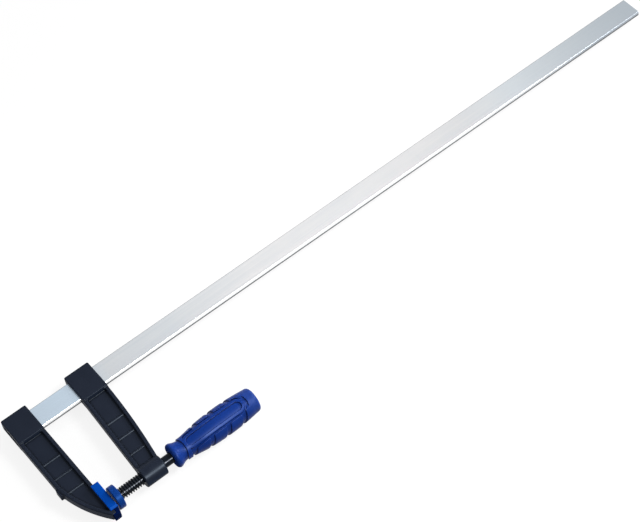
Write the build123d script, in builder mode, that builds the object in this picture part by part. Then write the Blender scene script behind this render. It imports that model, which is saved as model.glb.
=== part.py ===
"""Screw clamp: flat bar, fixed jaw, sliding jaw, spindle with swivel foot and moulded handle.

X runs along the spindle, from the fixed pad's face towards the handle.
Y points from the spindle to the bar, and Z is up when the clamp lies flat.
The origin is on the spindle axis, in the fixed pad's clamping face.
"""
import os
from math import cos, radians, sin

from build123d import *

os.makedirs("parts", exist_ok=True)

# Cuts run this far past the faces they open
overrun = 2.0

# Bar
bar_length = 882.0
bar_width = 26.0
bar_thickness = 6.5
bar_edge_radius = 1.0
bar_end_inset = 0.8

# Reach of the jaws, from the spindle axis to the bar's inner edge
reach = 120.0

# Castings
sleeve_wall = 4.0
sleeve_end_wall = 6.0
sleeve_corner_radius = 1.5
arm_thickness = 11.0
web_thickness = 5.0
flange_width = 4.0
recess_draft_angle = 14.0
recess_corner_radius = 2.0
recess_top_step = 0.4
rib_width = 1.2
rib_height = 0.9
rib_count = 3
casting_edge_radius = 0.9

# Fixed jaw
fixed_jaw_width = 31.5
fixed_seat_clearance = 0.05
fixed_sleeve_lip = 4.8
nose_drop = 17.5
nose_tip_width = 5.0
nose_start_y = 46.0
nose_sagitta = 4.4
lug_length = 10.0
lug_height = 1.5
lug_depth = 5.0
lug_thickness = 9.0
fixed_rib_start = 36.2
fixed_rib_pitch = 22.0

# Spring pin that holds the fixed jaw on the bar
pin_radius = 2.5
pin_wall = 0.7
pin_slit = 0.8
pin_inset = 0.6
pin_clearance = 0.02

# Fixed pad, a cap slipped on the fixed jaw's nose
fixed_pad_face = 5.5
fixed_pad_top_y = 23.5
fixed_pad_bottom_y = -13.0
fixed_pad_lip_depth = 3.5
fixed_pad_lip_wall = 2.5
fixed_pad_strap_wall = 2.4
fixed_pad_strap_front = 4.2
fixed_pad_strap_corner = 2.2
fixed_pad_strap_hook = 4.0
fixed_pad_edge_radius = 0.8
fixed_pad_end_bevel = 2.0

# Sliding jaw
slide_start = 44.0
slide_sleeve_length = 31.0
slide_sleeve_lip = 6.0
slide_clearance_flat = 0.3
slide_clearance_edge = 0.5
slide_outer_sagitta = 2.0
slide_foot_inset = 1.0
slide_rib_start = 38.8
slide_rib_pitch = 23.0
boss_start = 38.0
boss_length = 26.0
boss_radius = 11.3
boss_edge_radius = 1.0

# Spindle
thread_radius = 6.7
thread_clearance = 0.06
thread_tip_bevel = 1.0
thread_runout = 1.6
shank_radius = 6.0
shank_show = 12.0
tang_radius = 5.2
tang_flat = 4.2
tang_start_depth = 9.0
tang_length = 62.0
ball_radius = 3.5
neck_radius = 2.6

# Swivel foot
pad_gap = 1.5
pad_radius = 13.5
pad_length = 7.5
pad_face_wall = 1.8
pad_lip_wall = 0.9
pad_lip_reach = 1.4
pad_edge_radius = 0.9
pad_fit_clearance = 0.05
plate_radius = 11.4
plate_floor = 0.7
hub_radius = 6.4
hub_lip = 0.6
hub_thread_gap = 0.9
socket_clearance = 0.06
ring_thickness = 0.7
ring_bore_clearance = 0.45
ring_width = 1.25
ring_float = 0.5
ring_gap_angle = 40.0

# Handle
handle_length = 107.0
collar_front_radius = 12.4
collar_radius = 14.1
handle_neck_radius = 11.2
grip_radius = 14.9
heel_radius = 13.0
heel_flat_radius = 8.0
collar_share = 0.028
throat_share = 0.065
handle_neck_share = 0.118
shoulder_share = 0.30
swell_share = 0.52
full_share = 0.70
heel_share = 0.925
heel_round_share = 0.982
handle_turn_angle = 16.0

# Raised grip fields and the two framed panels of the handle
relief_height = 1.5
panel_start = 18.5
panel_length = 70.0
panel_width = 10.3
panel_frame = 3.0
field_pitch = 20.7
field_length = 14.8
field_half_height = 13.0
field_slant_share = 0.27
field_gap = 2.0
field_count = 4
upper_field_start = 16.0
lower_field_start = 23.5
heel_band_start = 88.5
heel_bite_radius = 22.7
heel_bite_depth = 7.0
front_band_start = 13.6
front_band_length = 5.0
front_bite_radius = 32.0
front_bite_depth = 1.9

# Places worked out from the sizes above
bar_inner_y = reach
bar_outer_y = reach + bar_width
bar_mid_y = reach + bar_width / 2
sleeve_top_y = bar_outer_y + sleeve_end_wall
fixed_sleeve_bottom_y = bar_inner_y - fixed_sleeve_lip
slide_sleeve_bottom_y = bar_inner_y - slide_sleeve_lip
fixed_arm_top_y = fixed_sleeve_bottom_y + flange_width - recess_top_step
slide_arm_top_y = slide_sleeve_bottom_y + flange_width - recess_top_step
sleeve_half = bar_thickness / 2 + sleeve_wall
arm_half = arm_thickness / 2
web_half = web_thickness / 2
fixed_inner_x = -fixed_pad_face
fixed_outer_x = fixed_inner_x - fixed_jaw_width
bar_start_x = fixed_outer_x + bar_end_inset
slide_end = slide_start + slide_sleeve_length
boss_end = boss_start + boss_length
handle_start = boss_end + shank_show
plate_front_x = pad_gap + pad_face_wall
ball_x = plate_front_x + plate_floor + socket_clearance + ball_radius
pad_back_x = pad_gap + pad_length
ring_inner_radius = neck_radius + ring_bore_clearance
ring_front_x = ball_x + (ball_radius**2 - neck_radius**2) ** 0.5 - ring_thickness / 2
ring_back_x = ring_front_x + ring_thickness
groove_back_x = ring_back_x + ring_float
hub_back_x = groove_back_x + hub_lip
thread_start_x = hub_back_x + hub_thread_gap
thread_end_x = boss_end - thread_runout
tang_start_x = handle_start + tang_start_depth
tang_end_x = tang_start_x + tang_length


def fixed_arm_outline():
    """Arm of the fixed jaw from inside its sleeve: straight inner face, blunt tip, curved nose, back."""
    tip_x = fixed_inner_x - nose_tip_width
    inner = Line((fixed_inner_x, fixed_arm_top_y), (fixed_inner_x, -nose_drop))
    tip = Line(inner @ 1, (tip_x, -nose_drop))
    nose = SagittaArc(tip @ 1, (fixed_outer_x, nose_start_y), nose_sagitta)
    back = Line(nose @ 1, (fixed_outer_x, fixed_arm_top_y))
    Line(back @ 1, inner @ 0)


def sliding_arm_outline():
    """Arm of the sliding jaw from inside its sleeve to the boss: straight inner edge, bowed outer edge."""
    inner = Line((slide_start, slide_arm_top_y), (boss_start, 0))
    foot = Line(inner @ 1, (boss_end - slide_foot_inset, 0))
    outer = SagittaArc(foot @ 1, (slide_end, slide_arm_top_y), -slide_outer_sagitta)
    Line(outer @ 1, inner @ 0)


def sleeve_outline(left_x, right_x, bottom_y):
    """Sleeve that a jaw rides the bar with, rounded at its two outer corners."""
    with Locations((left_x, bottom_y)):
        sleeve = Rectangle(right_x - left_x, sleeve_top_y - bottom_y, align=Align.MIN)
    fillet(sleeve.vertices().group_by(Axis.Y)[-1], sleeve_corner_radius)


def arm_rims(jaw):
    """Edges of an arm's two broad faces, but not those that the sleeve covers."""
    broad_faces = jaw.faces().filter_by(Axis.Z)
    return broad_faces.edges().sort_by(Axis.Y)[:-2]


def sleeve_rims(jaw):
    """Edges of a sleeve's two broad faces, which stand proud of the arm."""
    by_height = jaw.faces().filter_by(Axis.Z).sort_by(Axis.Z)
    return by_height[0].edges() + by_height[-1].edges()


# Bar
with BuildPart() as bar:
    with BuildSketch(Plane.YZ.offset(bar_start_x)):
        with Locations((bar_mid_y, 0)):
            RectangleRounded(bar_width, bar_thickness, bar_edge_radius)
    extrude(amount=bar_length)
    with BuildSketch(Plane.XY.offset(-bar_thickness / 2)):
        with Locations((fixed_inner_x - fixed_jaw_width / 2, bar_mid_y)):
            Circle(pin_radius + pin_clearance)
    extrude(amount=bar_thickness, mode=Mode.SUBTRACT)
bar.part.label = "bar"

# Fixed jaw
with BuildPart() as fixed_jaw:
    with BuildSketch(Plane.XY.offset(-arm_half)):
        with BuildLine():
            fixed_arm_outline()
        make_face()
    extrude(amount=arm_thickness)
    fillet(arm_rims(fixed_jaw), casting_edge_radius)
    with BuildSketch(Plane.XY.offset(-sleeve_half)):
        sleeve_outline(fixed_outer_x, fixed_inner_x, fixed_sleeve_bottom_y)
    extrude(amount=2 * sleeve_half)
    fillet(sleeve_rims(fixed_jaw), casting_edge_radius)
    with BuildSketch(Plane.XY.offset(-lug_thickness / 2)):
        with Locations((fixed_outer_x - lug_height, nose_start_y)):
            Rectangle(lug_height + lug_depth, lug_length, align=(Align.MIN, Align.MAX))
    extrude(amount=lug_thickness)
    for side in (1, -1):
        with BuildSketch(Plane.XY.offset(side * arm_half)):
            with BuildLine():
                fixed_arm_outline()
            make_face()
            recess = offset(amount=-flange_width, kind=Kind.INTERSECTION)
            fillet(recess.vertices().group_by(Axis.Y)[-1], recess_corner_radius)
        extrude(
            amount=-side * (arm_half - web_half), taper=recess_draft_angle, mode=Mode.SUBTRACT
        )
    with BuildSketch(Plane.XY.offset(-web_half - rib_height)):
        with BuildLine():
            fixed_arm_outline()
        make_face()
        offset(amount=-flange_width, kind=Kind.INTERSECTION)
        with BuildSketch(mode=Mode.INTERSECT):
            for number in range(rib_count):
                rib_y = fixed_sleeve_bottom_y - fixed_rib_start - number * fixed_rib_pitch
                with Locations((fixed_outer_x, rib_y)):
                    Rectangle(fixed_jaw_width, rib_width, align=(Align.MIN, Align.CENTER))
    extrude(amount=2 * (web_half + rib_height))
    with BuildSketch(Plane.YZ.offset(fixed_outer_x - overrun)):
        with Locations((bar_mid_y, 0)):
            Rectangle(bar_width + 2 * fixed_seat_clearance, bar_thickness + 2 * fixed_seat_clearance)
    extrude(amount=fixed_jaw_width + 2 * overrun, mode=Mode.SUBTRACT)
    with BuildSketch(Plane.XY.offset(-sleeve_half - overrun)):
        with Locations((fixed_inner_x - fixed_jaw_width / 2, bar_mid_y)):
            Circle(pin_radius + pin_clearance)
    extrude(amount=sleeve_half + overrun, mode=Mode.SUBTRACT)
fixed_jaw.part.label = "fixed_jaw"

# Spring pin: a slit tube
with BuildPart() as fixed_jaw_pin:
    with BuildSketch(Plane.XY.offset(pin_inset - sleeve_half)):
        with Locations((fixed_inner_x - fixed_jaw_width / 2, bar_mid_y)):
            Circle(pin_radius)
            Circle(pin_radius - pin_wall, mode=Mode.SUBTRACT)
            Rectangle(pin_slit, pin_radius + overrun, align=(Align.CENTER, Align.MIN), mode=Mode.SUBTRACT)
    extrude(amount=sleeve_half - pin_inset + bar_thickness / 2)
fixed_jaw_pin.part.label = "fixed_jaw_pin"

# Fixed pad
with BuildPart() as fixed_pad:
    pad_height = fixed_pad_top_y - fixed_pad_bottom_y
    pad_half = arm_half + fixed_pad_lip_wall
    with BuildSketch(Plane.XZ.offset(-fixed_pad_top_y)):
        Rectangle(
            fixed_pad_face + fixed_pad_lip_depth, 2 * pad_half, align=(Align.MAX, Align.CENTER)
        )
        with Locations((fixed_inner_x, 0)):
            Rectangle(
                fixed_pad_lip_depth,
                arm_thickness,
                align=(Align.MAX, Align.CENTER),
                mode=Mode.SUBTRACT,
            )
    extrude(amount=pad_height)
    lower_end = fixed_pad.edges().filter_by(Axis.X).group_by(Axis.Y)[0]
    chamfer(lower_end.group_by(Axis.Z)[-1] + lower_end.group_by(Axis.Z)[0], fixed_pad_end_bevel)
    fillet(fixed_pad.edges().filter_by(Axis.Y).group_by(Axis.X)[-1], fixed_pad_edge_radius)
    with BuildSketch(Plane.XY.offset(-arm_half)):
        strap_bottom_y = -nose_drop - fixed_pad_strap_wall
        with BuildLine():
            Polyline(
                (fixed_inner_x, fixed_pad_bottom_y),
                (fixed_inner_x, -nose_drop),
                (fixed_inner_x - fixed_pad_strap_hook, -nose_drop),
                (fixed_inner_x - fixed_pad_strap_hook, strap_bottom_y),
                (fixed_inner_x + fixed_pad_strap_front, strap_bottom_y),
                (-fixed_pad_edge_radius, fixed_pad_bottom_y),
                close=True,
            )
        strap = make_face()
        front_corner = strap.vertices().group_by(Axis.Y)[0].sort_by(Axis.X)[-1]
        fillet(front_corner, fixed_pad_strap_corner)
    extrude(amount=arm_thickness)
fixed_pad.part.label = "fixed_pad"

# Sliding jaw
with BuildPart() as sliding_jaw:
    with BuildSketch(Plane.XY.offset(-arm_half)):
        with BuildLine():
            sliding_arm_outline()
        make_face()
    extrude(amount=arm_thickness)
    fillet(arm_rims(sliding_jaw), casting_edge_radius)
    with BuildSketch(Plane.XY.offset(-sleeve_half)):
        sleeve_outline(slide_start, slide_end, slide_sleeve_bottom_y)
    extrude(amount=2 * sleeve_half)
    fillet(sleeve_rims(sliding_jaw), casting_edge_radius)
    for side in (1, -1):
        with BuildSketch(Plane.XY.offset(side * arm_half)):
            with BuildLine():
                sliding_arm_outline()
            make_face()
            recess = offset(amount=-flange_width, kind=Kind.INTERSECTION)
            fillet(recess.vertices().group_by(Axis.Y)[-1], recess_corner_radius)
        extrude(
            amount=-side * (arm_half - web_half), taper=recess_draft_angle, mode=Mode.SUBTRACT
        )
    with BuildSketch(Plane.XY.offset(-web_half - rib_height)):
        with BuildLine():
            sliding_arm_outline()
        make_face()
        offset(amount=-flange_width, kind=Kind.INTERSECTION)
        with BuildSketch(mode=Mode.INTERSECT):
            for number in range(rib_count):
                rib_y = slide_sleeve_bottom_y - slide_rib_start - number * slide_rib_pitch
                with Locations((boss_start, rib_y)):
                    Rectangle(slide_end, rib_width, align=(Align.MIN, Align.CENTER))
    extrude(amount=2 * (web_half + rib_height))
    with BuildSketch(Plane.XY):
        with Locations((boss_start, 0)):
            boss = Rectangle(boss_length, boss_radius, align=(Align.MIN, Align.MIN))
        fillet(boss.vertices().group_by(Axis.Y)[-1], boss_edge_radius)
    revolve(axis=Axis.X)
    with BuildSketch(Plane.YZ.offset(boss_start - overrun)):
        Circle(thread_radius + thread_clearance)
    extrude(amount=boss_length + 2 * overrun, mode=Mode.SUBTRACT)
    with BuildSketch(Plane.YZ.offset(boss_start - overrun)):
        with Locations((bar_mid_y, 0)):
            Rectangle(bar_width + 2 * slide_clearance_edge, bar_thickness + 2 * slide_clearance_flat)
    extrude(amount=slide_end, mode=Mode.SUBTRACT)
sliding_jaw.part.label = "sliding_jaw"

# Spindle: ball, neck, threaded length at its outer diameter, plain shank, flattened tang
with BuildPart() as spindle:
    with BuildSketch(Plane.XY):
        with BuildLine():
            neck_x = ball_x + (ball_radius**2 - neck_radius**2) ** 0.5
            Line((tang_end_x, 0), (ball_x - ball_radius, 0))
            ThreePointArc((ball_x - ball_radius, 0), (ball_x, ball_radius), (neck_x, neck_radius))
            Polyline(
                (neck_x, neck_radius),
                (thread_start_x, neck_radius),
                (thread_start_x, thread_radius - thread_tip_bevel),
                (thread_start_x + thread_tip_bevel, thread_radius),
                (thread_end_x, thread_radius),
                (thread_end_x, shank_radius),
                (tang_start_x, shank_radius),
                (tang_start_x, tang_radius),
                (tang_end_x, tang_radius),
                (tang_end_x, 0),
            )
        make_face()
    revolve(axis=Axis.X)
    with BuildSketch(Plane.YZ.offset(tang_start_x)):
        Circle(tang_radius)
        Rectangle(2 * tang_flat, 2 * tang_radius, mode=Mode.SUBTRACT)
    extrude(amount=tang_length, mode=Mode.SUBTRACT)
spindle.part.label = "spindle"

# Pressure plate with its ball socket and ring groove
with BuildPart() as pressure_plate:
    socket_radius = ball_radius + socket_clearance
    entry_radius = socket_radius
    groove_radius = ring_inner_radius + ring_width + ring_float
    with BuildSketch(Plane.XY):
        with BuildLine():
            disc_back_x = pad_back_x - pad_lip_wall - pad_fit_clearance
            groove_front_x = ring_front_x - ring_float
            Line((ball_x - socket_radius, 0), (plate_front_x, 0))
            Polyline(
                (plate_front_x, 0),
                (plate_front_x, plate_radius),
                (disc_back_x, plate_radius),
                (disc_back_x, hub_radius),
                (hub_back_x, hub_radius),
                (hub_back_x, entry_radius),
                (groove_back_x, entry_radius),
                (groove_back_x, groove_radius),
                (groove_front_x, groove_radius),
                (groove_front_x, entry_radius),
                (ball_x, entry_radius),
            )
            RadiusArc((ball_x, entry_radius), (ball_x - socket_radius, 0), -socket_radius)
        make_face()
    revolve(axis=Axis.X)
pressure_plate.part.label = "pressure_plate"

# Open snap ring behind the ball
with BuildPart() as retaining_ring:
    with BuildSketch(Plane.XY):
        with Locations((ring_front_x, ring_inner_radius)):
            Rectangle(ring_thickness, ring_width, align=(Align.MIN, Align.MIN))
    revolve(axis=Axis.X, revolution_arc=360 - ring_gap_angle)
retaining_ring.part.label = "retaining_ring"

# Round pad: a cup snapped over the pressure plate
with BuildPart() as spindle_pad:
    with BuildSketch(Plane.XY):
        cup_radius = plate_radius + pad_fit_clearance
        lip_front_x = pad_back_x - pad_lip_wall
        with BuildLine():
            Polyline(
                (pad_gap, 0),
                (pad_gap, pad_radius),
                (pad_back_x, pad_radius),
                (pad_back_x, cup_radius - pad_lip_reach),
                (lip_front_x, cup_radius - pad_lip_reach),
                (lip_front_x, cup_radius),
                (plate_front_x, cup_radius),
                (plate_front_x, 0),
                close=True,
            )
        make_face()
    revolve(axis=Axis.X)
    fillet(spindle_pad.edges().filter_by(GeomType.CIRCLE).sort_by(SortBy.RADIUS)[-2:], pad_edge_radius)
spindle_pad.part.label = "spindle_pad"


def handle_profile(raised):
    """Half section of the handle, from the flared collar to the rounded heel, raised by a height."""

    def along(share):
        return handle_start + share * handle_length

    handle_end = handle_start + handle_length
    side = Spline(
        (handle_start, collar_front_radius + raised),
        (along(collar_share), collar_radius + raised),
        (along(throat_share), (collar_radius + handle_neck_radius) / 2 + raised),
        (along(handle_neck_share), handle_neck_radius + raised),
        (along(shoulder_share), (handle_neck_radius + grip_radius) / 2 + raised),
        (along(swell_share), grip_radius + raised),
        (along(full_share), grip_radius + raised),
        (along(heel_share), heel_radius + raised),
    )
    heel_mid_radius = (heel_radius + heel_flat_radius) / 2 + relief_height
    heel = Spline(
        side @ 1,
        (along(heel_round_share), heel_mid_radius + raised),
        (handle_end, heel_flat_radius + raised),
        tangents=(side % 1, (0, -1)),
    )
    Polyline(heel @ 1, (handle_end, 0), (handle_start, 0), side @ 0)


# Axes of the handle: the panels face up and down, the grip fields lie to both sides
panel_normal = (0, -sin(radians(handle_turn_angle)), cos(radians(handle_turn_angle)))
side_normal = (0, -cos(radians(handle_turn_angle)), -sin(radians(handle_turn_angle)))
grip_outer = grip_radius + collar_radius

panel_plane = Plane((handle_start, 0, 0), (1, 0, 0), panel_normal)
field_reach = panel_frame + field_gap

with BuildPart() as grip_relief:
    # Slanted grip fields on both sides, which end at a gap round the panels' frames
    for normal_sign, start in ((1, lower_field_start), (-1, upper_field_start)):
        normal = tuple(normal_sign * component for component in side_normal)
        lean = normal_sign * field_slant_share * field_half_height
        with BuildSketch(Plane((handle_start, 0, 0), (1, 0, 0), normal)):
            for number in range(field_count):
                front = start + number * field_pitch
                with BuildLine():
                    Polyline(
                        (front + lean, field_half_height),
                        (front + field_length + lean, field_half_height),
                        (front + field_length - lean, -field_half_height),
                        (front - lean, -field_half_height),
                        close=True,
                    )
                make_face()
        extrude(amount=grip_outer)
    with BuildSketch(panel_plane):
        with Locations((panel_start + panel_length / 2, 0)):
            SlotOverall(panel_length + 2 * field_reach, panel_width + 2 * field_reach)
    extrude(amount=grip_outer, both=True, mode=Mode.SUBTRACT)
    # Frames of the two panels
    with BuildSketch(panel_plane):
        with Locations((panel_start + panel_length / 2, 0)):
            SlotOverall(panel_length + 2 * panel_frame, panel_width + 2 * panel_frame)
            SlotOverall(panel_length, panel_width, mode=Mode.SUBTRACT)
    extrude(amount=grip_outer, both=True)
    # Heel band and front band, hollowed round the panels' ends
    with BuildSketch(panel_plane):
        with Locations((heel_band_start, 0)):
            Rectangle(handle_length, 2 * grip_outer, align=(Align.MIN, Align.CENTER))
        with Locations((heel_band_start + heel_bite_depth - heel_bite_radius, 0)):
            Circle(heel_bite_radius, mode=Mode.SUBTRACT)
        with Locations((front_band_start, 0)):
            Rectangle(front_band_length, 2 * grip_outer, align=(Align.MIN, Align.CENTER))
        with Locations((front_band_start + front_bite_depth - front_bite_radius, 0)):
            Circle(front_bite_radius, mode=Mode.SUBTRACT)
    extrude(amount=grip_outer, both=True)
    with BuildSketch(Plane.XY):
        with BuildLine():
            handle_profile(relief_height)
        make_face()
    revolve(axis=Axis.X, mode=Mode.INTERSECT)

with BuildPart() as handle:
    with BuildSketch(Plane.XY):
        with BuildLine():
            handle_profile(0)
        make_face()
    revolve(axis=Axis.X)
    add(grip_relief.part)
    add(spindle.part, mode=Mode.SUBTRACT)
handle.part.label = "handle"

for piece in (
    bar,
    fixed_jaw,
    fixed_jaw_pin,
    fixed_pad,
    sliding_jaw,
    spindle,
    pressure_plate,
    retaining_ring,
    spindle_pad,
    handle,
):
    export_step(piece.part, f"parts/{piece.part.label}.step")
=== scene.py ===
"""Screw clamp on a pale floor: cast jaws, zinc-plated bar, threaded spindle and moulded handle.

Everything is in metres, in the part's own frame: X runs along the spindle, Y towards the bar, Z up.
"""

from math import cos, pi, radians, sin, tan

import bpy
import numpy
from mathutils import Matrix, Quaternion, Vector


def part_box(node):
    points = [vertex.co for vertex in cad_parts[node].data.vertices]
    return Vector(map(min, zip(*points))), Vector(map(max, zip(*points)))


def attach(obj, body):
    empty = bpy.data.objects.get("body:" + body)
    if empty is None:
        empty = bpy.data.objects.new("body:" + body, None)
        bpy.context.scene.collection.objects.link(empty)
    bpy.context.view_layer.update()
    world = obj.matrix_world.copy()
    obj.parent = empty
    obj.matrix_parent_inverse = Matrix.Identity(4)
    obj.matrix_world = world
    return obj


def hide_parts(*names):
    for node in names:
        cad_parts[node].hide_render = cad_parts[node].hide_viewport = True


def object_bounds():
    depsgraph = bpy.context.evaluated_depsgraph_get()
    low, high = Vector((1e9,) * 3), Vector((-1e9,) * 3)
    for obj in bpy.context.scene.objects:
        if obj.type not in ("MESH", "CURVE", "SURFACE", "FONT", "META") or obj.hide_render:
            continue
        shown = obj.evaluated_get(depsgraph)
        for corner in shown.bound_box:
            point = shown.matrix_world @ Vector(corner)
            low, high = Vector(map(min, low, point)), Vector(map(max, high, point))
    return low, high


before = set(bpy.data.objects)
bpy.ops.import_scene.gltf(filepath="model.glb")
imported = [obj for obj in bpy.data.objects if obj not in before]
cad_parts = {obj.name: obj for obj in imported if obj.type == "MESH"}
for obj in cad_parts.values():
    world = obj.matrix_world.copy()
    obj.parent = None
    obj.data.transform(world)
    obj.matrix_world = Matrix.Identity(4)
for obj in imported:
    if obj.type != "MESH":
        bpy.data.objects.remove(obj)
cad_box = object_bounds()

# Camera, from the photograph's perspective
camera_place = Vector((-0.3236, -1.0290, 1.7702))
camera_aim = Vector((0.3441, 0.0922, 0.0))
camera_roll = radians(-9.39)
camera_lens = 113.25
camera_sensor = 36.0

# Rounding of the cast and moulded pieces
merge_distance = 0.000001
casting_voxel = 0.00047
casting_rounds = 3
pad_voxel = 0.0003
pad_rounds = 3
handle_voxel = 0.00025
handle_rounds = 9
handle_triangles = 190000
rounding_factor = 0.5

# How sharply a surface bends: flat_bend on flats, more on outer edges and less in creases
bend_layer = "bend"
flat_bend = 0.5
handle_bend_gain = 3.0
handle_blur_rounds = 3

# Spindle
turned_sides = 96
thread_pitch = 0.003
thread_depth = 0.0016
thread_root_width = 0.00104
thread_flank_angle = radians(15)
thread_start = 0.012253
thread_end = 0.0624
thread_tip_bevel = 0.001
groove_overreach = 0.0008
groove_steps = 48
ball_centre = 0.00756
ball_radius = 0.0035
ball_rings = 12
ball_turn = radians(135)
neck_radius = 0.0026
shank_radius = 0.006
shank_end = 0.085
tang_radius = 0.0052
tang_flat = 0.0042
tang_end = 0.147
sharp_edge_angle = radians(35)

# Noises of the finishes: features per metre, detail and roughness
slate_clouds = (60.0, 3.0, 0.5)
slate_skin = (1300.0, 4.0, 0.6)
zinc_clouds = (14.0, 4.0, 0.6)
zinc_lines = (1.0, 2.0, 0.5)
black_clouds = (350.0, 4.0, 0.5)
steel_clouds = (500.0, 4.0, 0.5)
plastic_clouds = (45.0, 3.0, 0.5)
plastic_grain = (2600.0, 2.0, 0.5)

# Ranges that the noises fill, and the full range of a share
noise_range = (0.3, 0.7)
line_range = (0.25, 0.75)
full_range = (0.0, 1.0)

# Bumps of the finishes: strength and depth
skin_bump = (0.35, 0.00012)
line_bump = (0.10, 0.00005)
grain_bump = (0.18, 0.00006)

# Slate enamel of the castings: duller upright faces with painted shade on them, paler edges from worn
# paint and a painted highlight, and painted shade in creases and inner corners
slate_tones = ((0.0090, 0.0122, 0.0215, 1), (0.0132, 0.0173, 0.0290, 1))
# Paler paint along edges: worn paint and a painted highlight
slate_edge_tone = (0.020, 0.025, 0.034, 1)
slate_edge_bends = (0.525, 0.61)
# Painted shade in creases, by how sharply the surface bends
slate_crease_bends = (0.49, 0.44)
slate_gloss = (0.29, 0.38)
slate_sheen = 0.065
slate_sheen_tint = (0.72, 0.85, 1.0, 1)
# Upright faces: painted shade darkens them, and their finish is duller
upright_levels = (0.45, 0.15)
painted_upright_shade = (0.007, 0.013, 0.029, 1)
upright_roughness = 0.5
# Painted shade deep in inner corners: its reach, samples, openness range and tone
hollow_reach = 0.003
hollow_samples = 8
hollow_openness = (0.95, 0.7)
painted_hollow_shade = (0.001, 0.0015, 0.003, 1)

# Zinc coat of the bar, with a painted reflection along it: bluish by the fixed jaw, neutral in the middle
# and darker at the free end
bluish_zinc = (0.447, 0.536, 0.622, 1)
grey_zinc = (0.495, 0.507, 0.518, 1)
neutral_zinc = (0.565, 0.555, 0.55, 1)
cool_zinc = (0.543, 0.572, 0.592, 1)
dark_end_zinc = (0.405, 0.445, 0.48, 1)
plate_reflection_tones = (
    (0.09, bluish_zinc),
    (0.14, grey_zinc),
    (0.24, grey_zinc),
    (0.36, neutral_zinc),
    (0.70, neutral_zinc),
    (0.79, cool_zinc),
    (0.985, dark_end_zinc),
)
zinc_cloud_share = (0.0, 0.2)
zinc_cloud_tone = (0.36, 0.42, 0.48, 1)
zinc_line_stretch = (9.0, 1400.0, 1400.0)
zinc_line_share = (0.0, 0.25)
zinc_line_tone = (0.33, 0.38, 0.44, 1)
zinc_gloss = (0.28, 0.38)
zinc_metal_share = 0.8

# Narrow sides of the bar: a painted reflection makes them pale above, and painted shade makes them dark
# below and along the far corner, all from its outer faces
side_reflection_tones = ((0.70, (0.91, 0.92, 0.93, 1)), (0.92, (0.38, 0.42, 0.47, 1)))
side_depths = (0.0006, 0.0003)
shaded_heights = (0.0034, 0.0026)
far_corner_depths = (0.0010, 0.0006)
far_corner_share = (0.0, 0.85)
shaded_tone = (0.12, 0.125, 0.13, 1)

# Blackened steel of the spindle and the foot, brighter on the worn crests of the thread
black_tones = ((0.006, 0.009, 0.015, 1), (0.018, 0.020, 0.024, 1))
black_gloss = (0.18, 0.28)
black_sheen = 0.07
black_sheen_tint = (0.82, 0.88, 1.0, 1)
worn_depth = thread_depth / 4

# Bare steel of the small pieces
steel_tones = ((0.22, 0.22, 0.23, 1), (0.36, 0.36, 0.37, 1))
steel_gloss = (0.28, 0.42)
steel_metal_share = 1.0

# Blue plastic of the pads and the handle
# Painted highlight along edges and painted shade in creases of the blue plastic, by how sharply it bends
plastic_edge_bends = (0.56, 0.66)
plastic_crease_bends = (0.485, 0.43)
plastic_sheen = 0.11
glossier_by = 0.05
duller_by = 0.06
matt_roughness = 0.95
nose_pad_finish = {
    "tones": ((0.0, 0.042, 0.29, 1), (0.0, 0.053, 0.335, 1)),
    "edge_highlight": (0.008, 0.10, 0.46, 1),
    "crease_shade": (0.0, 0.010, 0.08, 1),
    "sheen_tint": (0.10, 0.35, 1.0, 1),
    "roughness": 0.36,
}
round_pad_finish = {
    "tones": ((0.003, 0.029, 0.172, 1), (0.004, 0.037, 0.20, 1)),
    "edge_highlight": (0.010, 0.075, 0.30, 1),
    "crease_shade": (0.0, 0.008, 0.06, 1),
    "sheen_tint": (0.10, 0.35, 1.0, 1),
    "roughness": 0.36,
}
handle_finish = {
    "tones": ((0.003, 0.023, 0.165, 1), (0.006, 0.031, 0.20, 1)),
    "edge_highlight": (0.055, 0.105, 0.40, 1),
    "crease_shade": (0.0, 0.004, 0.05, 1),
    "sheen_tint": (0.40, 0.55, 1.0, 1),
    "roughness": 0.38,
}

# Matt front face of the handle, and painted light on its heel
matt_depth = 0.0006
matt_blend = 0.0012
heel_start = 0.166
heel_blend = 0.008
painted_heel_light = (0.012, 0.037, 0.20, 1)

# Matt strap of the nose pad, below the pad's lower end, darkened with painted shade
strap_top = -0.0128
strap_blend = 0.0004
painted_strap_shade = (0.0, 0.003, 0.035, 1)

# Stage and light
floor_size = 12.0
floor_colour = (0.17, 0.17, 0.17, 1)
floor_lift = 0.845
sky_colour = (1, 1, 1, 1)
sky_strength = 0.5
soft_boxes = {
    "key_box": {"place": (1.15, -0.75, 1.45), "aim": (0.1, 0.05, 0), "size": 0.6, "power": 27.0},
    "overhead_box": {"place": (0.95, 1.18, 1.6), "aim": (0.35, 0.1, 0), "size": 0.9, "power": 2.0},
    "end_box": {
        "place": (1.1, -0.05, 0.5),
        "aim": (0.16, -0.02, 0),
        "size": 0.35,
        "power": 0.7,
        "cone": radians(45),
    },
    "front_box": {
        "place": (0.34, -1.14, 1.08),
        "aim": (0.06, 0, 0),
        "size": 0.36,
        "power": 58.0,
        "sheen_only": True,
    },
}


def make_active(piece):
    """Leaves only this piece selected, and makes it the active one."""
    bpy.ops.object.select_all(action="DESELECT")
    piece.select_set(True)
    bpy.context.view_layer.objects.active = piece


def apply_modifier(piece, kind, **settings):
    """Adds a modifier with these settings and applies it."""
    make_active(piece)
    modifier = piece.modifiers.new(kind.title(), kind)
    for name, value in settings.items():
        setattr(modifier, name, value)
    bpy.ops.object.modifier_apply(modifier=modifier.name)


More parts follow.
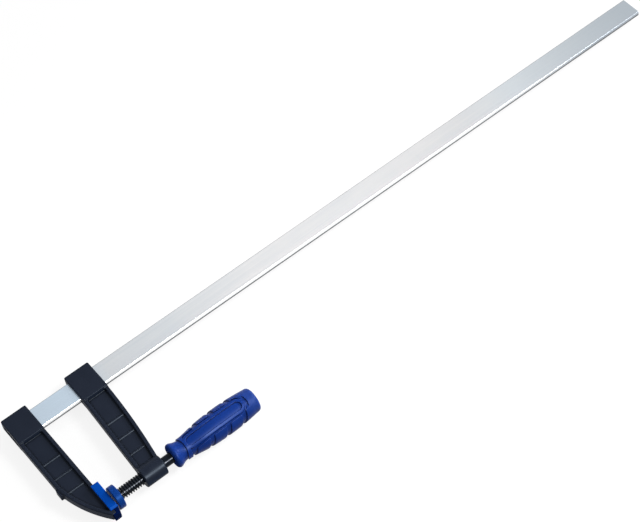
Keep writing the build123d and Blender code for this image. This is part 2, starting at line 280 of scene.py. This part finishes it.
def merged_copy(node, name):
    """A copy of a CAD node's mesh as a piece of its own, with its loose triangles joined."""
    piece = bpy.data.objects.new(name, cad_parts[node].data.copy())
    bpy.context.scene.collection.objects.link(piece)
    make_active(piece)
    bpy.ops.object.mode_set(mode="EDIT")
    bpy.ops.mesh.select_all(action="SELECT")
    bpy.ops.mesh.remove_doubles(threshold=merge_distance)
    bpy.ops.object.mode_set(mode="OBJECT")
    return piece


def listed(elements, key, width, kind=float):
    """One property of all vertices or edges, a row for each."""
    values = numpy.empty(width * len(elements), dtype=kind)
    elements.foreach_get(key, values)
    return values.reshape(-1, width)


def mark_bends(piece, gain, blur_rounds):
    """Stores at each vertex how sharply the surface bends there, for painted highlights (and, on the
    castings, worn paint) along edges and painted shade in creases.
    """
    mesh = piece.data
    places = listed(mesh.vertices, "co", 3)
    normals = listed(mesh.vertices, "normal", 3)
    ends = listed(mesh.edges, "vertices", 2, int)
    starts, stops = ends.T
    neighbours = numpy.bincount(ends.ravel(), minlength=len(places))
    steps = places[stops] - places[starts]
    steps /= numpy.linalg.norm(steps, axis=1, keepdims=True)
    lean = numpy.zeros_like(places)
    numpy.add.at(lean, starts, steps)
    numpy.add.at(lean, stops, -steps)
    slope = (normals * lean).sum(axis=1) / neighbours
    bend = flat_bend + gain * (numpy.arccos(slope) / pi - flat_bend)
    for _ in range(blur_rounds):
        total = bend.copy()
        numpy.add.at(total, starts, bend[stops])
        numpy.add.at(total, stops, bend[starts])
        bend = total / (neighbours + 1)
    mesh.attributes.new(bend_layer, "FLOAT", "POINT").data.foreach_set("value", bend)


def softened_copy(node, name, voxel, rounds, bend_gain=1.0, blur_rounds=1):
    """A node's shape with its hard edges rounded, as they leave a mould."""
    piece = merged_copy(node, name)
    apply_modifier(piece, "REMESH", mode="VOXEL", voxel_size=voxel, use_smooth_shade=True)
    apply_modifier(piece, "SMOOTH", factor=rounding_factor, iterations=rounds)
    mark_bends(piece, bend_gain, blur_rounds)
    return piece


def thin_out(piece, triangles):
    """Leaves about this many triangles, the fewest on the flats."""
    piece.data.calc_loop_triangles()
    apply_modifier(piece, "DECIMATE", ratio=triangles / len(piece.data.loop_triangles))


def turned(name, rings):
    """A piece turned about the X axis: a disc extruded and scaled from ring to ring of (x, radius)."""
    first_x, first_radius = rings[0]
    bpy.ops.object.select_all(action="DESELECT")
    bpy.ops.mesh.primitive_circle_add(
        vertices=turned_sides,
        radius=first_radius,
        fill_type="NGON",
        location=(first_x, 0, 0),
        rotation=(0, pi / 2, 0),
    )
    piece = bpy.context.object
    piece.name = name
    bpy.ops.object.transform_apply(location=True, rotation=True, scale=True)
    bpy.ops.object.mode_set(mode="EDIT")
    bpy.ops.mesh.select_all(action="SELECT")
    for (x, radius), (next_x, next_radius) in zip(rings, rings[1:]):
        bpy.ops.mesh.extrude_region_move(TRANSFORM_OT_translate={"value": (next_x - x, 0, 0)})
        growth = next_radius / radius
        bpy.ops.transform.resize(value=(1, growth, growth), center_override=(next_x, 0, 0))
    bpy.ops.mesh.select_all(action="SELECT")
    bpy.ops.mesh.normals_make_consistent(inside=False)
    bpy.ops.object.mode_set(mode="OBJECT")
    return piece


def thread_groove(crest_radius):
    """The helical groove between the thread's crests, as a solid to cut with."""
    outer_radius = crest_radius + groove_overreach
    root_radius = crest_radius - thread_depth
    height = outer_radius - root_radius
    middle_radius = root_radius + height / 2
    outer_width = thread_root_width + 2 * height * tan(thread_flank_angle)
    start = thread_start - thread_pitch
    turns = int((thread_end - start) / thread_pitch)
    bpy.ops.object.select_all(action="DESELECT")
    bpy.ops.mesh.primitive_plane_add(size=1, location=(start, 0, middle_radius), rotation=(pi / 2, 0, 0))
    groove = bpy.context.object
    groove.scale = (outer_width, height, 1)
    bpy.ops.object.transform_apply(location=True, rotation=True, scale=True)
    bpy.ops.object.mode_set(mode="EDIT")
    bpy.ops.mesh.delete(type="ONLY_FACE")
    bpy.ops.mesh.select_all(action="DESELECT")
    bpy.ops.object.mode_set(mode="OBJECT")
    for vertex in groove.data.vertices:
        vertex.select = vertex.co.z < middle_radius
    bpy.ops.object.mode_set(mode="EDIT")
    narrowing = thread_root_width / outer_width
    bpy.ops.transform.resize(value=(narrowing, 1, 1), center_override=(start, 0, root_radius))
    bpy.ops.object.mode_set(mode="OBJECT")
    apply_modifier(
        groove,
        "SCREW",
        axis="X",
        angle=2 * pi,
        screw_offset=thread_pitch,
        iterations=turns,
        steps=groove_steps,
        render_steps=groove_steps,
    )
    bpy.ops.object.mode_set(mode="EDIT")
    bpy.ops.mesh.select_all(action="SELECT")
    bpy.ops.mesh.remove_doubles(threshold=merge_distance)
    bpy.ops.mesh.fill_holes(sides=0)
    bpy.ops.mesh.select_all(action="SELECT")
    bpy.ops.mesh.normals_make_consistent(inside=False)
    bpy.ops.object.mode_set(mode="OBJECT")
    return groove


def flattened_tang():
    """End of the spindle inside the handle, with two flats that keep the handle from turning on it."""
    tang = turned("tang", [(shank_end, tang_radius), (tang_end, tang_radius)])
    bpy.ops.object.mode_set(mode="EDIT")
    for side in (1, -1):
        bpy.ops.mesh.select_all(action="SELECT")
        bpy.ops.mesh.bisect(
            plane_co=(0, side * tang_flat, 0),
            plane_no=(0, side, 0),
            use_fill=True,
            clear_outer=True,
        )
    bpy.ops.object.mode_set(mode="OBJECT")
    return tang


def threaded_spindle():
    """Spindle with its ball end, trapezoidal thread, plain shank and tang."""
    crest_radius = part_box("spindle")[1].z
    rings = []
    for step in range(1, ball_rings + 1):
        turn = ball_turn * step / ball_rings
        rings.append((ball_centre - ball_radius * cos(turn), ball_radius * sin(turn)))
    rings += [
        (thread_start, neck_radius),
        (thread_start, crest_radius - thread_tip_bevel),
        (thread_start + thread_tip_bevel, crest_radius),
        (thread_end, crest_radius),
        (thread_end, shank_radius),
        (shank_end, shank_radius),
    ]
    spindle = turned("threaded_spindle", rings)
    groove = thread_groove(crest_radius)
    apply_modifier(spindle, "BOOLEAN", operation="DIFFERENCE", object=groove, solver="EXACT")
    bpy.data.objects.remove(groove)
    tang = flattened_tang()
    make_active(spindle)
    tang.select_set(True)
    bpy.ops.object.join()
    bpy.ops.object.shade_smooth_by_angle(angle=sharp_edge_angle)
    return spindle


def set_inputs(tree, node, inputs):
    """Sets a node's inputs, or links those whose value is another node's socket."""
    for name, value in inputs.items():
        if isinstance(value, bpy.types.NodeSocket):
            tree.links.new(value, node.inputs[name])
        else:
            node.inputs[name].default_value = value


def add_node(tree, kind, inputs, **settings):
    """A node with these settings and inputs."""
    node = tree.nodes.new(kind)
    for name, value in settings.items():
        setattr(node, name, value)
    set_inputs(tree, node, inputs)
    return node


def new_finish(name):
    """A new material, its node tree, its shader and the place on the object."""
    material = bpy.data.materials.new(name)
    material.use_nodes = True
    tree = material.node_tree
    place = tree.nodes.new("ShaderNodeTexCoord").outputs["Object"]
    return material, tree, tree.nodes["Principled BSDF"], place


def noise(tree, place, settings):
    """Cloudy variation, with its features per metre, detail and roughness."""
    scale, detail, roughness = settings
    inputs = {"Vector": place, "Scale": scale, "Detail": detail, "Roughness": roughness}
    return add_node(tree, "ShaderNodeTexNoise", inputs).outputs["Fac"]


def spread(tree, value, old_range, new_range=full_range):
    """A value taken from one range to another, held at its ends."""
    low, high = old_range
    new_low, new_high = new_range
    inputs = {"Value": value, "From Min": low, "From Max": high, "To Min": new_low, "To Max": new_high}
    return add_node(tree, "ShaderNodeMapRange", inputs).outputs["Result"]


def worked_out(tree, operation, *values):
    """The result of a piece of arithmetic."""
    return add_node(tree, "ShaderNodeMath", dict(enumerate(values)), operation=operation).outputs["Value"]


def mixed(tree, share, first, second):
    """A colour between two others."""
    inputs = {"Fac": share, "Color1": first, "Color2": second}
    return add_node(tree, "ShaderNodeMixRGB", inputs).outputs["Color"]


def ramp(tree, share, tones):
    """A colour that runs through tones, each at its share of the way."""
    node = add_node(tree, "ShaderNodeValToRGB", {"Fac": share})
    stops = node.color_ramp.elements
    for stop, (place, tone) in zip(stops, (tones[0], tones[-1])):
        stop.position = place
        stop.color = tone
    for place, tone in tones[1:-1]:
        stops.new(place).color = tone
    return node.outputs["Color"]


def bumped(tree, height, bump):
    """A normal that follows a height, with the bump's strength and depth."""
    strength, depth = bump
    inputs = {"Height": height, "Strength": strength, "Distance": depth}
    return add_node(tree, "ShaderNodeBump", inputs).outputs["Normal"]


def axes(tree, vector):
    """The X, Y and Z of a place or a direction."""
    return add_node(tree, "ShaderNodeSeparateXYZ", {"Vector": vector}).outputs


def bend_share(tree, bends):
    """0 where the surface bends as the first of two bends, 1 where it bends as the second."""
    bend = add_node(tree, "ShaderNodeAttribute", {}, attribute_name=bend_layer).outputs["Fac"]
    return spread(tree, bend, bends)


def upright_share(tree):
    """1 on upright faces, 0 on those that face up or down."""
    facing = tree.nodes.new("ShaderNodeTexCoord").outputs["Normal"]
    level = worked_out(tree, "ABSOLUTE", axes(tree, facing)["Z"])
    return spread(tree, level, upright_levels)


def hollow_share(tree):
    """1 deep in inner corners, 0 in the open: where painted shade goes."""
    openness = add_node(
        tree,
        "ShaderNodeAmbientOcclusion",
        {"Distance": hollow_reach},
        samples=hollow_samples,
        only_local=True,
    )
    return spread(tree, openness.outputs["AO"], hollow_openness)


def slate_enamel():
    """Dark blue-grey paint on a sand casting, with painted shade on upright faces and in creases and inner
    corners, and paler edges from worn paint and a painted highlight.
    """
    material, tree, shader, place = new_finish("slate_enamel")
    clouds = noise(tree, place, slate_clouds)
    upright = upright_share(tree)
    paint = mixed(tree, clouds, *slate_tones)
    # Paler edges: worn paint and a painted highlight
    edged = mixed(tree, bend_share(tree, slate_edge_bends), paint, slate_edge_tone)
    # Painted shade on upright faces
    upright_shaded = mixed(tree, upright, edged, painted_upright_shade)
    # Painted shade in creases and deep in inner corners
    crease_shaded = mixed(tree, bend_share(tree, slate_crease_bends), upright_shaded, painted_hollow_shade)
    gloss = spread(tree, clouds, noise_range, slate_gloss)
    look = {
        "Base Color": mixed(tree, hollow_share(tree), crease_shaded, painted_hollow_shade),
        "Roughness": spread(tree, upright, full_range, (gloss, upright_roughness)),
        "Normal": bumped(tree, noise(tree, place, slate_skin), skin_bump),
        "Specular IOR Level": slate_sheen,
        "Specular Tint": slate_sheen_tint,
    }
    set_inputs(tree, shader, look)
    return material


def zinc_plate():
    """Drawn steel bar with a pale zinc coat and fine lines along it, a painted reflection that changes
    along it, painted reflections that make its narrow sides pale, and painted shade on its lower part and
    far corner.
    """
    material, tree, shader, place = new_finish("zinc_plate")
    low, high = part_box("bar")
    stretched = add_node(tree, "ShaderNodeMapping", {"Vector": place, "Scale": zinc_line_stretch})
    lines = noise(tree, stretched.outputs["Vector"], zinc_lines)
    clouds = noise(tree, place, zinc_clouds)
    parts = axes(tree, place)
    along = spread(tree, parts["X"], (low.x, high.x))
    cloudiness = spread(tree, clouds, noise_range, zinc_cloud_share)
    # Painted reflection: the tone runs along the bar
    cloudy = mixed(tree, cloudiness, ramp(tree, along, plate_reflection_tones), zinc_cloud_tone)
    tone = mixed(tree, spread(tree, lines, noise_range, zinc_line_share), cloudy, zinc_line_tone)
    near_side = [low.y + depth for depth in side_depths]
    far_side = [high.y - depth for depth in side_depths]
    # Painted reflections that make the narrow sides pale, darker towards the free end
    for side in (near_side, far_side):
        tone = mixed(tree, spread(tree, parts["Y"], side), tone, ramp(tree, along, side_reflection_tones))
    # Painted shade on the lower part and along the far corner
    lower_part = [low.z + height for height in shaded_heights]
    tone = mixed(tree, spread(tree, parts["Z"], lower_part), tone, shaded_tone)
    far_corner = [high.y - depth for depth in far_corner_depths]
    tone = mixed(tree, spread(tree, parts["Y"], far_corner, far_corner_share), tone, shaded_tone)
    look = {
        "Base Color": tone,
        "Roughness": spread(tree, lines, line_range, zinc_gloss),
        "Normal": bumped(tree, lines, line_bump),
        "Metallic": zinc_metal_share,
    }
    set_inputs(tree, shader, look)
    return material


def blackened_steel():
    """Oiled black steel, worn a little brighter where it runs in the jaw."""
    material, tree, shader, place = new_finish("blackened_steel")
    parts = axes(tree, place)
    across = add_node(tree, "ShaderNodeCombineXYZ", {"Y": parts["Y"], "Z": parts["Z"]})
    radius = add_node(tree, "ShaderNodeVectorMath", {0: across.outputs["Vector"]}, operation="LENGTH")
    crest_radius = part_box("spindle")[1].z
    crest = spread(tree, radius.outputs["Value"], (crest_radius - worn_depth, crest_radius))
    clouds = noise(tree, place, black_clouds)
    look = {
        "Base Color": mixed(tree, worked_out(tree, "MULTIPLY", crest, clouds), *black_tones),
        "Roughness": spread(tree, clouds, noise_range, black_gloss),
        "Specular IOR Level": black_sheen,
        "Specular Tint": black_sheen_tint,
    }
    set_inputs(tree, shader, look)
    return material


def plain_steel():
    """Bare turned steel of the small pieces."""
    material, tree, shader, place = new_finish("plain_steel")
    clouds = noise(tree, place, steel_clouds)
    look = {
        "Base Color": mixed(tree, clouds, *steel_tones),
        "Roughness": spread(tree, clouds, noise_range, steel_gloss),
        "Metallic": steel_metal_share,
    }
    set_inputs(tree, shader, look)
    return material


def blue_plastic(name, finish, dark_below=None, matt_before=None, pale_after=None):
    """Moulded blue plastic with a fine grain, a painted highlight along its edges and painted shade in its
    creases.
    """
    material, tree, shader, place = new_finish(name)
    clouds = noise(tree, place, plastic_clouds)
    parts = axes(tree, place)
    body = mixed(tree, clouds, *finish["tones"])
    if pale_after is not None:
        # Painted light on the heel of the handle
        lit_heel = spread(tree, parts["X"], (pale_after, pale_after + heel_blend))
        body = mixed(tree, lit_heel, body, painted_heel_light)
    # Painted highlight along edges, then painted shade in creases
    edged = mixed(tree, bend_share(tree, plastic_edge_bends), body, finish["edge_highlight"])
    tone = mixed(tree, bend_share(tree, plastic_crease_bends), edged, finish["crease_shade"])
    gloss = (finish["roughness"] - glossier_by, finish["roughness"] + duller_by)
    dullness = spread(tree, clouds, noise_range, gloss)
    if dark_below is not None:
        # Painted shade on the strap, which is also made matt
        strap = spread(tree, parts["Y"], (dark_below, dark_below - strap_blend))
        tone = mixed(tree, strap, tone, painted_strap_shade)
        dullness = spread(tree, strap, full_range, (dullness, matt_roughness))
    if matt_before is not None:
        front = (matt_before, matt_before + matt_blend)
        dullness = spread(tree, parts["X"], front, (matt_roughness, dullness))
    look = {
        "Base Color": tone,
        "Roughness": dullness,
        "Normal": bumped(tree, noise(tree, place, plastic_grain), grain_bump),
        "Specular IOR Level": plastic_sheen,
        "Specular Tint": finish["sheen_tint"],
    }
    set_inputs(tree, shader, look)
    return material


def seen_share(tree, strength):
    """The strength for camera, glossy and transmission rays, and 0 for the light that falls on things."""
    path = tree.nodes.new("ShaderNodeLightPath")
    seen = path.outputs["Is Camera Ray"]
    for ray in ("Is Glossy Ray", "Is Transmission Ray"):
        seen = worked_out(tree, "MAXIMUM", seen, path.outputs[ray])
    return worked_out(tree, "MULTIPLY", seen, strength)


def pale_floor():
    """Floor that looks white to the camera and in reflections, and still takes shadows."""
    material = bpy.data.materials.new("pale_floor")
    material.use_nodes = True
    tree = material.node_tree
    tree.nodes.remove(tree.nodes["Principled BSDF"])
    matt = add_node(tree, "ShaderNodeBsdfDiffuse", {"Color": floor_colour})
    glow = add_node(tree, "ShaderNodeEmission", {"Strength": seen_share(tree, floor_lift)})
    both = add_node(tree, "ShaderNodeAddShader", {0: matt.outputs["BSDF"], 1: glow.outputs["Emission"]})
    tree.links.new(both.outputs["Shader"], tree.nodes["Material Output"].inputs["Surface"])
    return material


def dress(piece, material):
    """Gives a piece one material."""
    piece.data.materials.clear()
    piece.data.materials.append(material)


def seat(piece, node, body, material):
    """A piece stands for a node: it rides on the node's body and takes this material, and the node is
    hidden.
    """
    dress(piece, material)
    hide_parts(node)
    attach(piece, body)


def soft_lamp(name, place, aim, size, power, cone=pi, sheen_only=False):
    """A square soft box that faces a point and lights a cone, or one that only gives highlights."""
    lamp = bpy.data.lights.new(name, "AREA")
    lamp.size = size
    lamp.energy = power
    lamp.spread = cone
    holder = bpy.data.objects.new(name, lamp)
    bpy.context.scene.collection.objects.link(holder)
    holder.location = place
    holder.rotation_mode = "QUATERNION"
    holder.rotation_quaternion = (Vector(aim) - Vector(place)).to_track_quat("-Z", "Y")
    holder.visible_diffuse = not sheen_only


# Castings
slate = slate_enamel()
fixed_casting = softened_copy("fixed_jaw", "fixed_casting", casting_voxel, casting_rounds)
seat(fixed_casting, "fixed_jaw", "frame", slate)
sliding_casting = softened_copy("sliding_jaw", "sliding_casting", casting_voxel, casting_rounds)
seat(sliding_casting, "sliding_jaw", "slider", slate)

# Pads
strapped_blue = blue_plastic("strapped_blue", nose_pad_finish, dark_below=strap_top)
nose_pad = softened_copy("fixed_pad", "nose_pad", pad_voxel, pad_rounds)
seat(nose_pad, "fixed_pad", "frame", strapped_blue)
pad_blue = blue_plastic("pad_blue", round_pad_finish)
round_pad = softened_copy("spindle_pad", "round_pad", pad_voxel, pad_rounds)
seat(round_pad, "spindle_pad", "foot", pad_blue)

# Handle and spindle
handle_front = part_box("handle")[0].x + matt_depth
handle_blue = blue_plastic("handle_blue", handle_finish, matt_before=handle_front, pale_after=heel_start)
moulded_handle = softened_copy(
    "handle",
    "moulded_handle",
    handle_voxel,
    handle_rounds,
    bend_gain=handle_bend_gain,
    blur_rounds=handle_blur_rounds,
)
thin_out(moulded_handle, handle_triangles)
seat(moulded_handle, "handle", "screw", handle_blue)
black_steel = blackened_steel()
seat(threaded_spindle(), "spindle", "screw", black_steel)

# Pieces that keep their CAD shape
dress(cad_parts["bar"], zinc_plate())
dress(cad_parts["pressure_plate"], black_steel)
steel = plain_steel()
for small_piece in ("retaining_ring", "fixed_jaw_pin"):
    dress(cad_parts[small_piece], steel)

# Floor
bpy.ops.object.select_all(action="DESELECT")
bpy.ops.mesh.primitive_plane_add(size=floor_size, location=(0, 0, cad_box[0].z))
floor = bpy.context.object
floor.name = "floor"
dress(floor, pale_floor())

# Sky and lamps
world = bpy.data.worlds.new("studio")
bpy.context.scene.world = world
world.use_nodes = True
sky_tree = world.node_tree
sky_lift = seen_share(sky_tree, 1 - sky_strength)
sky_look = {"Color": sky_colour, "Strength": worked_out(sky_tree, "ADD", sky_lift, sky_strength)}
set_inputs(sky_tree, sky_tree.nodes["Background"], sky_look)
for lamp_name, soft_box in soft_boxes.items():
    soft_lamp(lamp_name, **soft_box)

# Camera
camera_data = bpy.data.cameras.new("camera")
camera_data.lens = camera_lens
camera_data.sensor_width = camera_sensor
camera_data.sensor_fit = "HORIZONTAL"
camera = bpy.data.objects.new("camera", camera_data)
bpy.context.scene.collection.objects.link(camera)
camera.location = camera_place
camera.rotation_mode = "QUATERNION"
looking = (camera_aim - camera_place).to_track_quat("-Z", "Y")
camera.rotation_quaternion = looking @ Quaternion((0, 0, 1), camera_roll)
bpy.context.scene.camera = camera
bpy.context.scene.view_settings.view_transform = "Standard"
